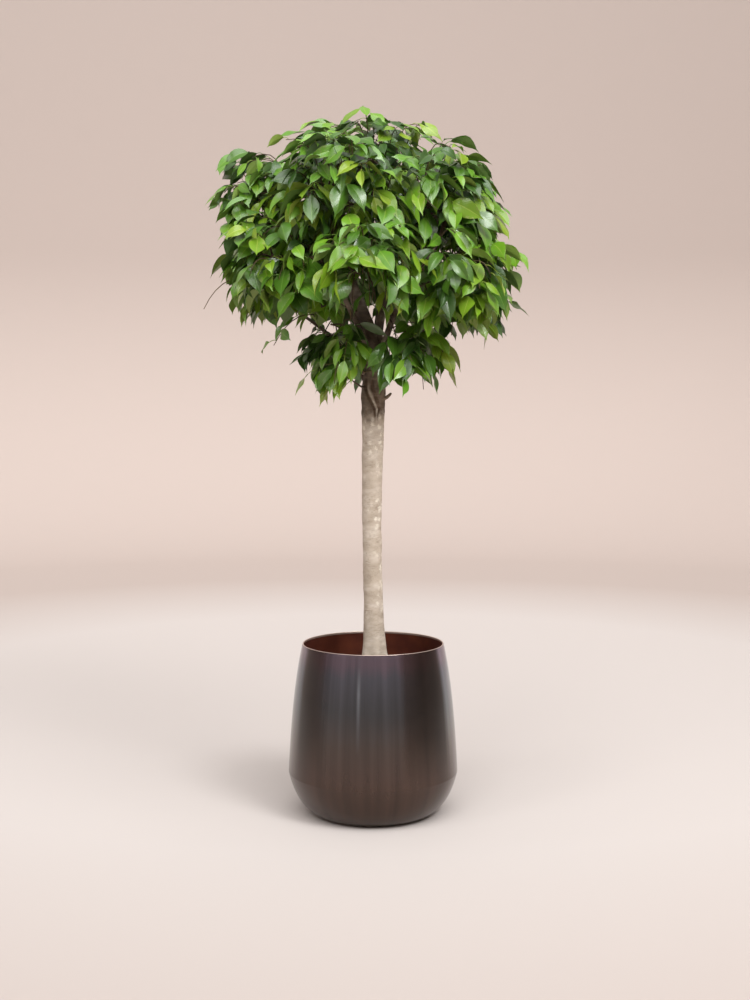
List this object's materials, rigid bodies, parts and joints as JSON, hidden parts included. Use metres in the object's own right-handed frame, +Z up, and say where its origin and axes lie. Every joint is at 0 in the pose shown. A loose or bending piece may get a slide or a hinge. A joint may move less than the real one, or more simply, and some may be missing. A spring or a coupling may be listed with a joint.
{
  "type": "potted weeping fig standard tree",
  "caption": "Weeping fig trained as a standard: one clear grey stem under a loose round head of drooping glossy leaves, planted in a round-bellied dark metal planter.",
  "frame": {"origin": "centre of the planter's flat underside, which stands on the floor", "axes": "+Z up along the stem, -Y towards the front, +X to the right seen from the front"},
  "size_m": [0.6877, 0.6899, 1.5607],
  "materials": {
    "planter": "dark brown-grey lacquer over spun metal, glossy",
    "soil": "moist peat compost, rough and dull",
    "bark": "smooth pale grey-tan bark with fine cross lines, matt",
    "young_bark": "darker brown young bark, matt",
    "leaf": "glossy mid to dark green leaves with some fresh lime ones"
  },
  "bodies": {
    "root": {"planter": "planter", "soil": "soil", "stem": "bark", "leaves_top": "leaf", "leaves_shoulder_1": "leaf", "leaves_shoulder_2": "leaf", "leaves_shoulder_3": "leaf", "leaves_shoulder_4": "leaf", "leaves_shoulder_5": "leaf", "leaves_skirt_1": "leaf", "leaves_skirt_2": "leaf", "leaves_skirt_3": "leaf", "leaves_skirt_4": "leaf", "leaves_skirt_5": "leaf", "leaves_skirt_6": "leaf", "leaves_skirt_7": "leaf", "leaves_under_1": "leaf", "leaves_under_2": "leaf", "leaves_under_3": "leaf", "leaves_under_4": "leaf", "leaves_under_5": "leaf", "bough_left": "young_bark", "bough_right": "young_bark", "bough_back_right": "young_bark", "bough_back_left": "young_bark", "bough_front_left": "young_bark", "bough_front_right": "young_bark", "bough_low_left": "young_bark", "bough_low_right": "young_bark"}
  },
  "joints": []
}
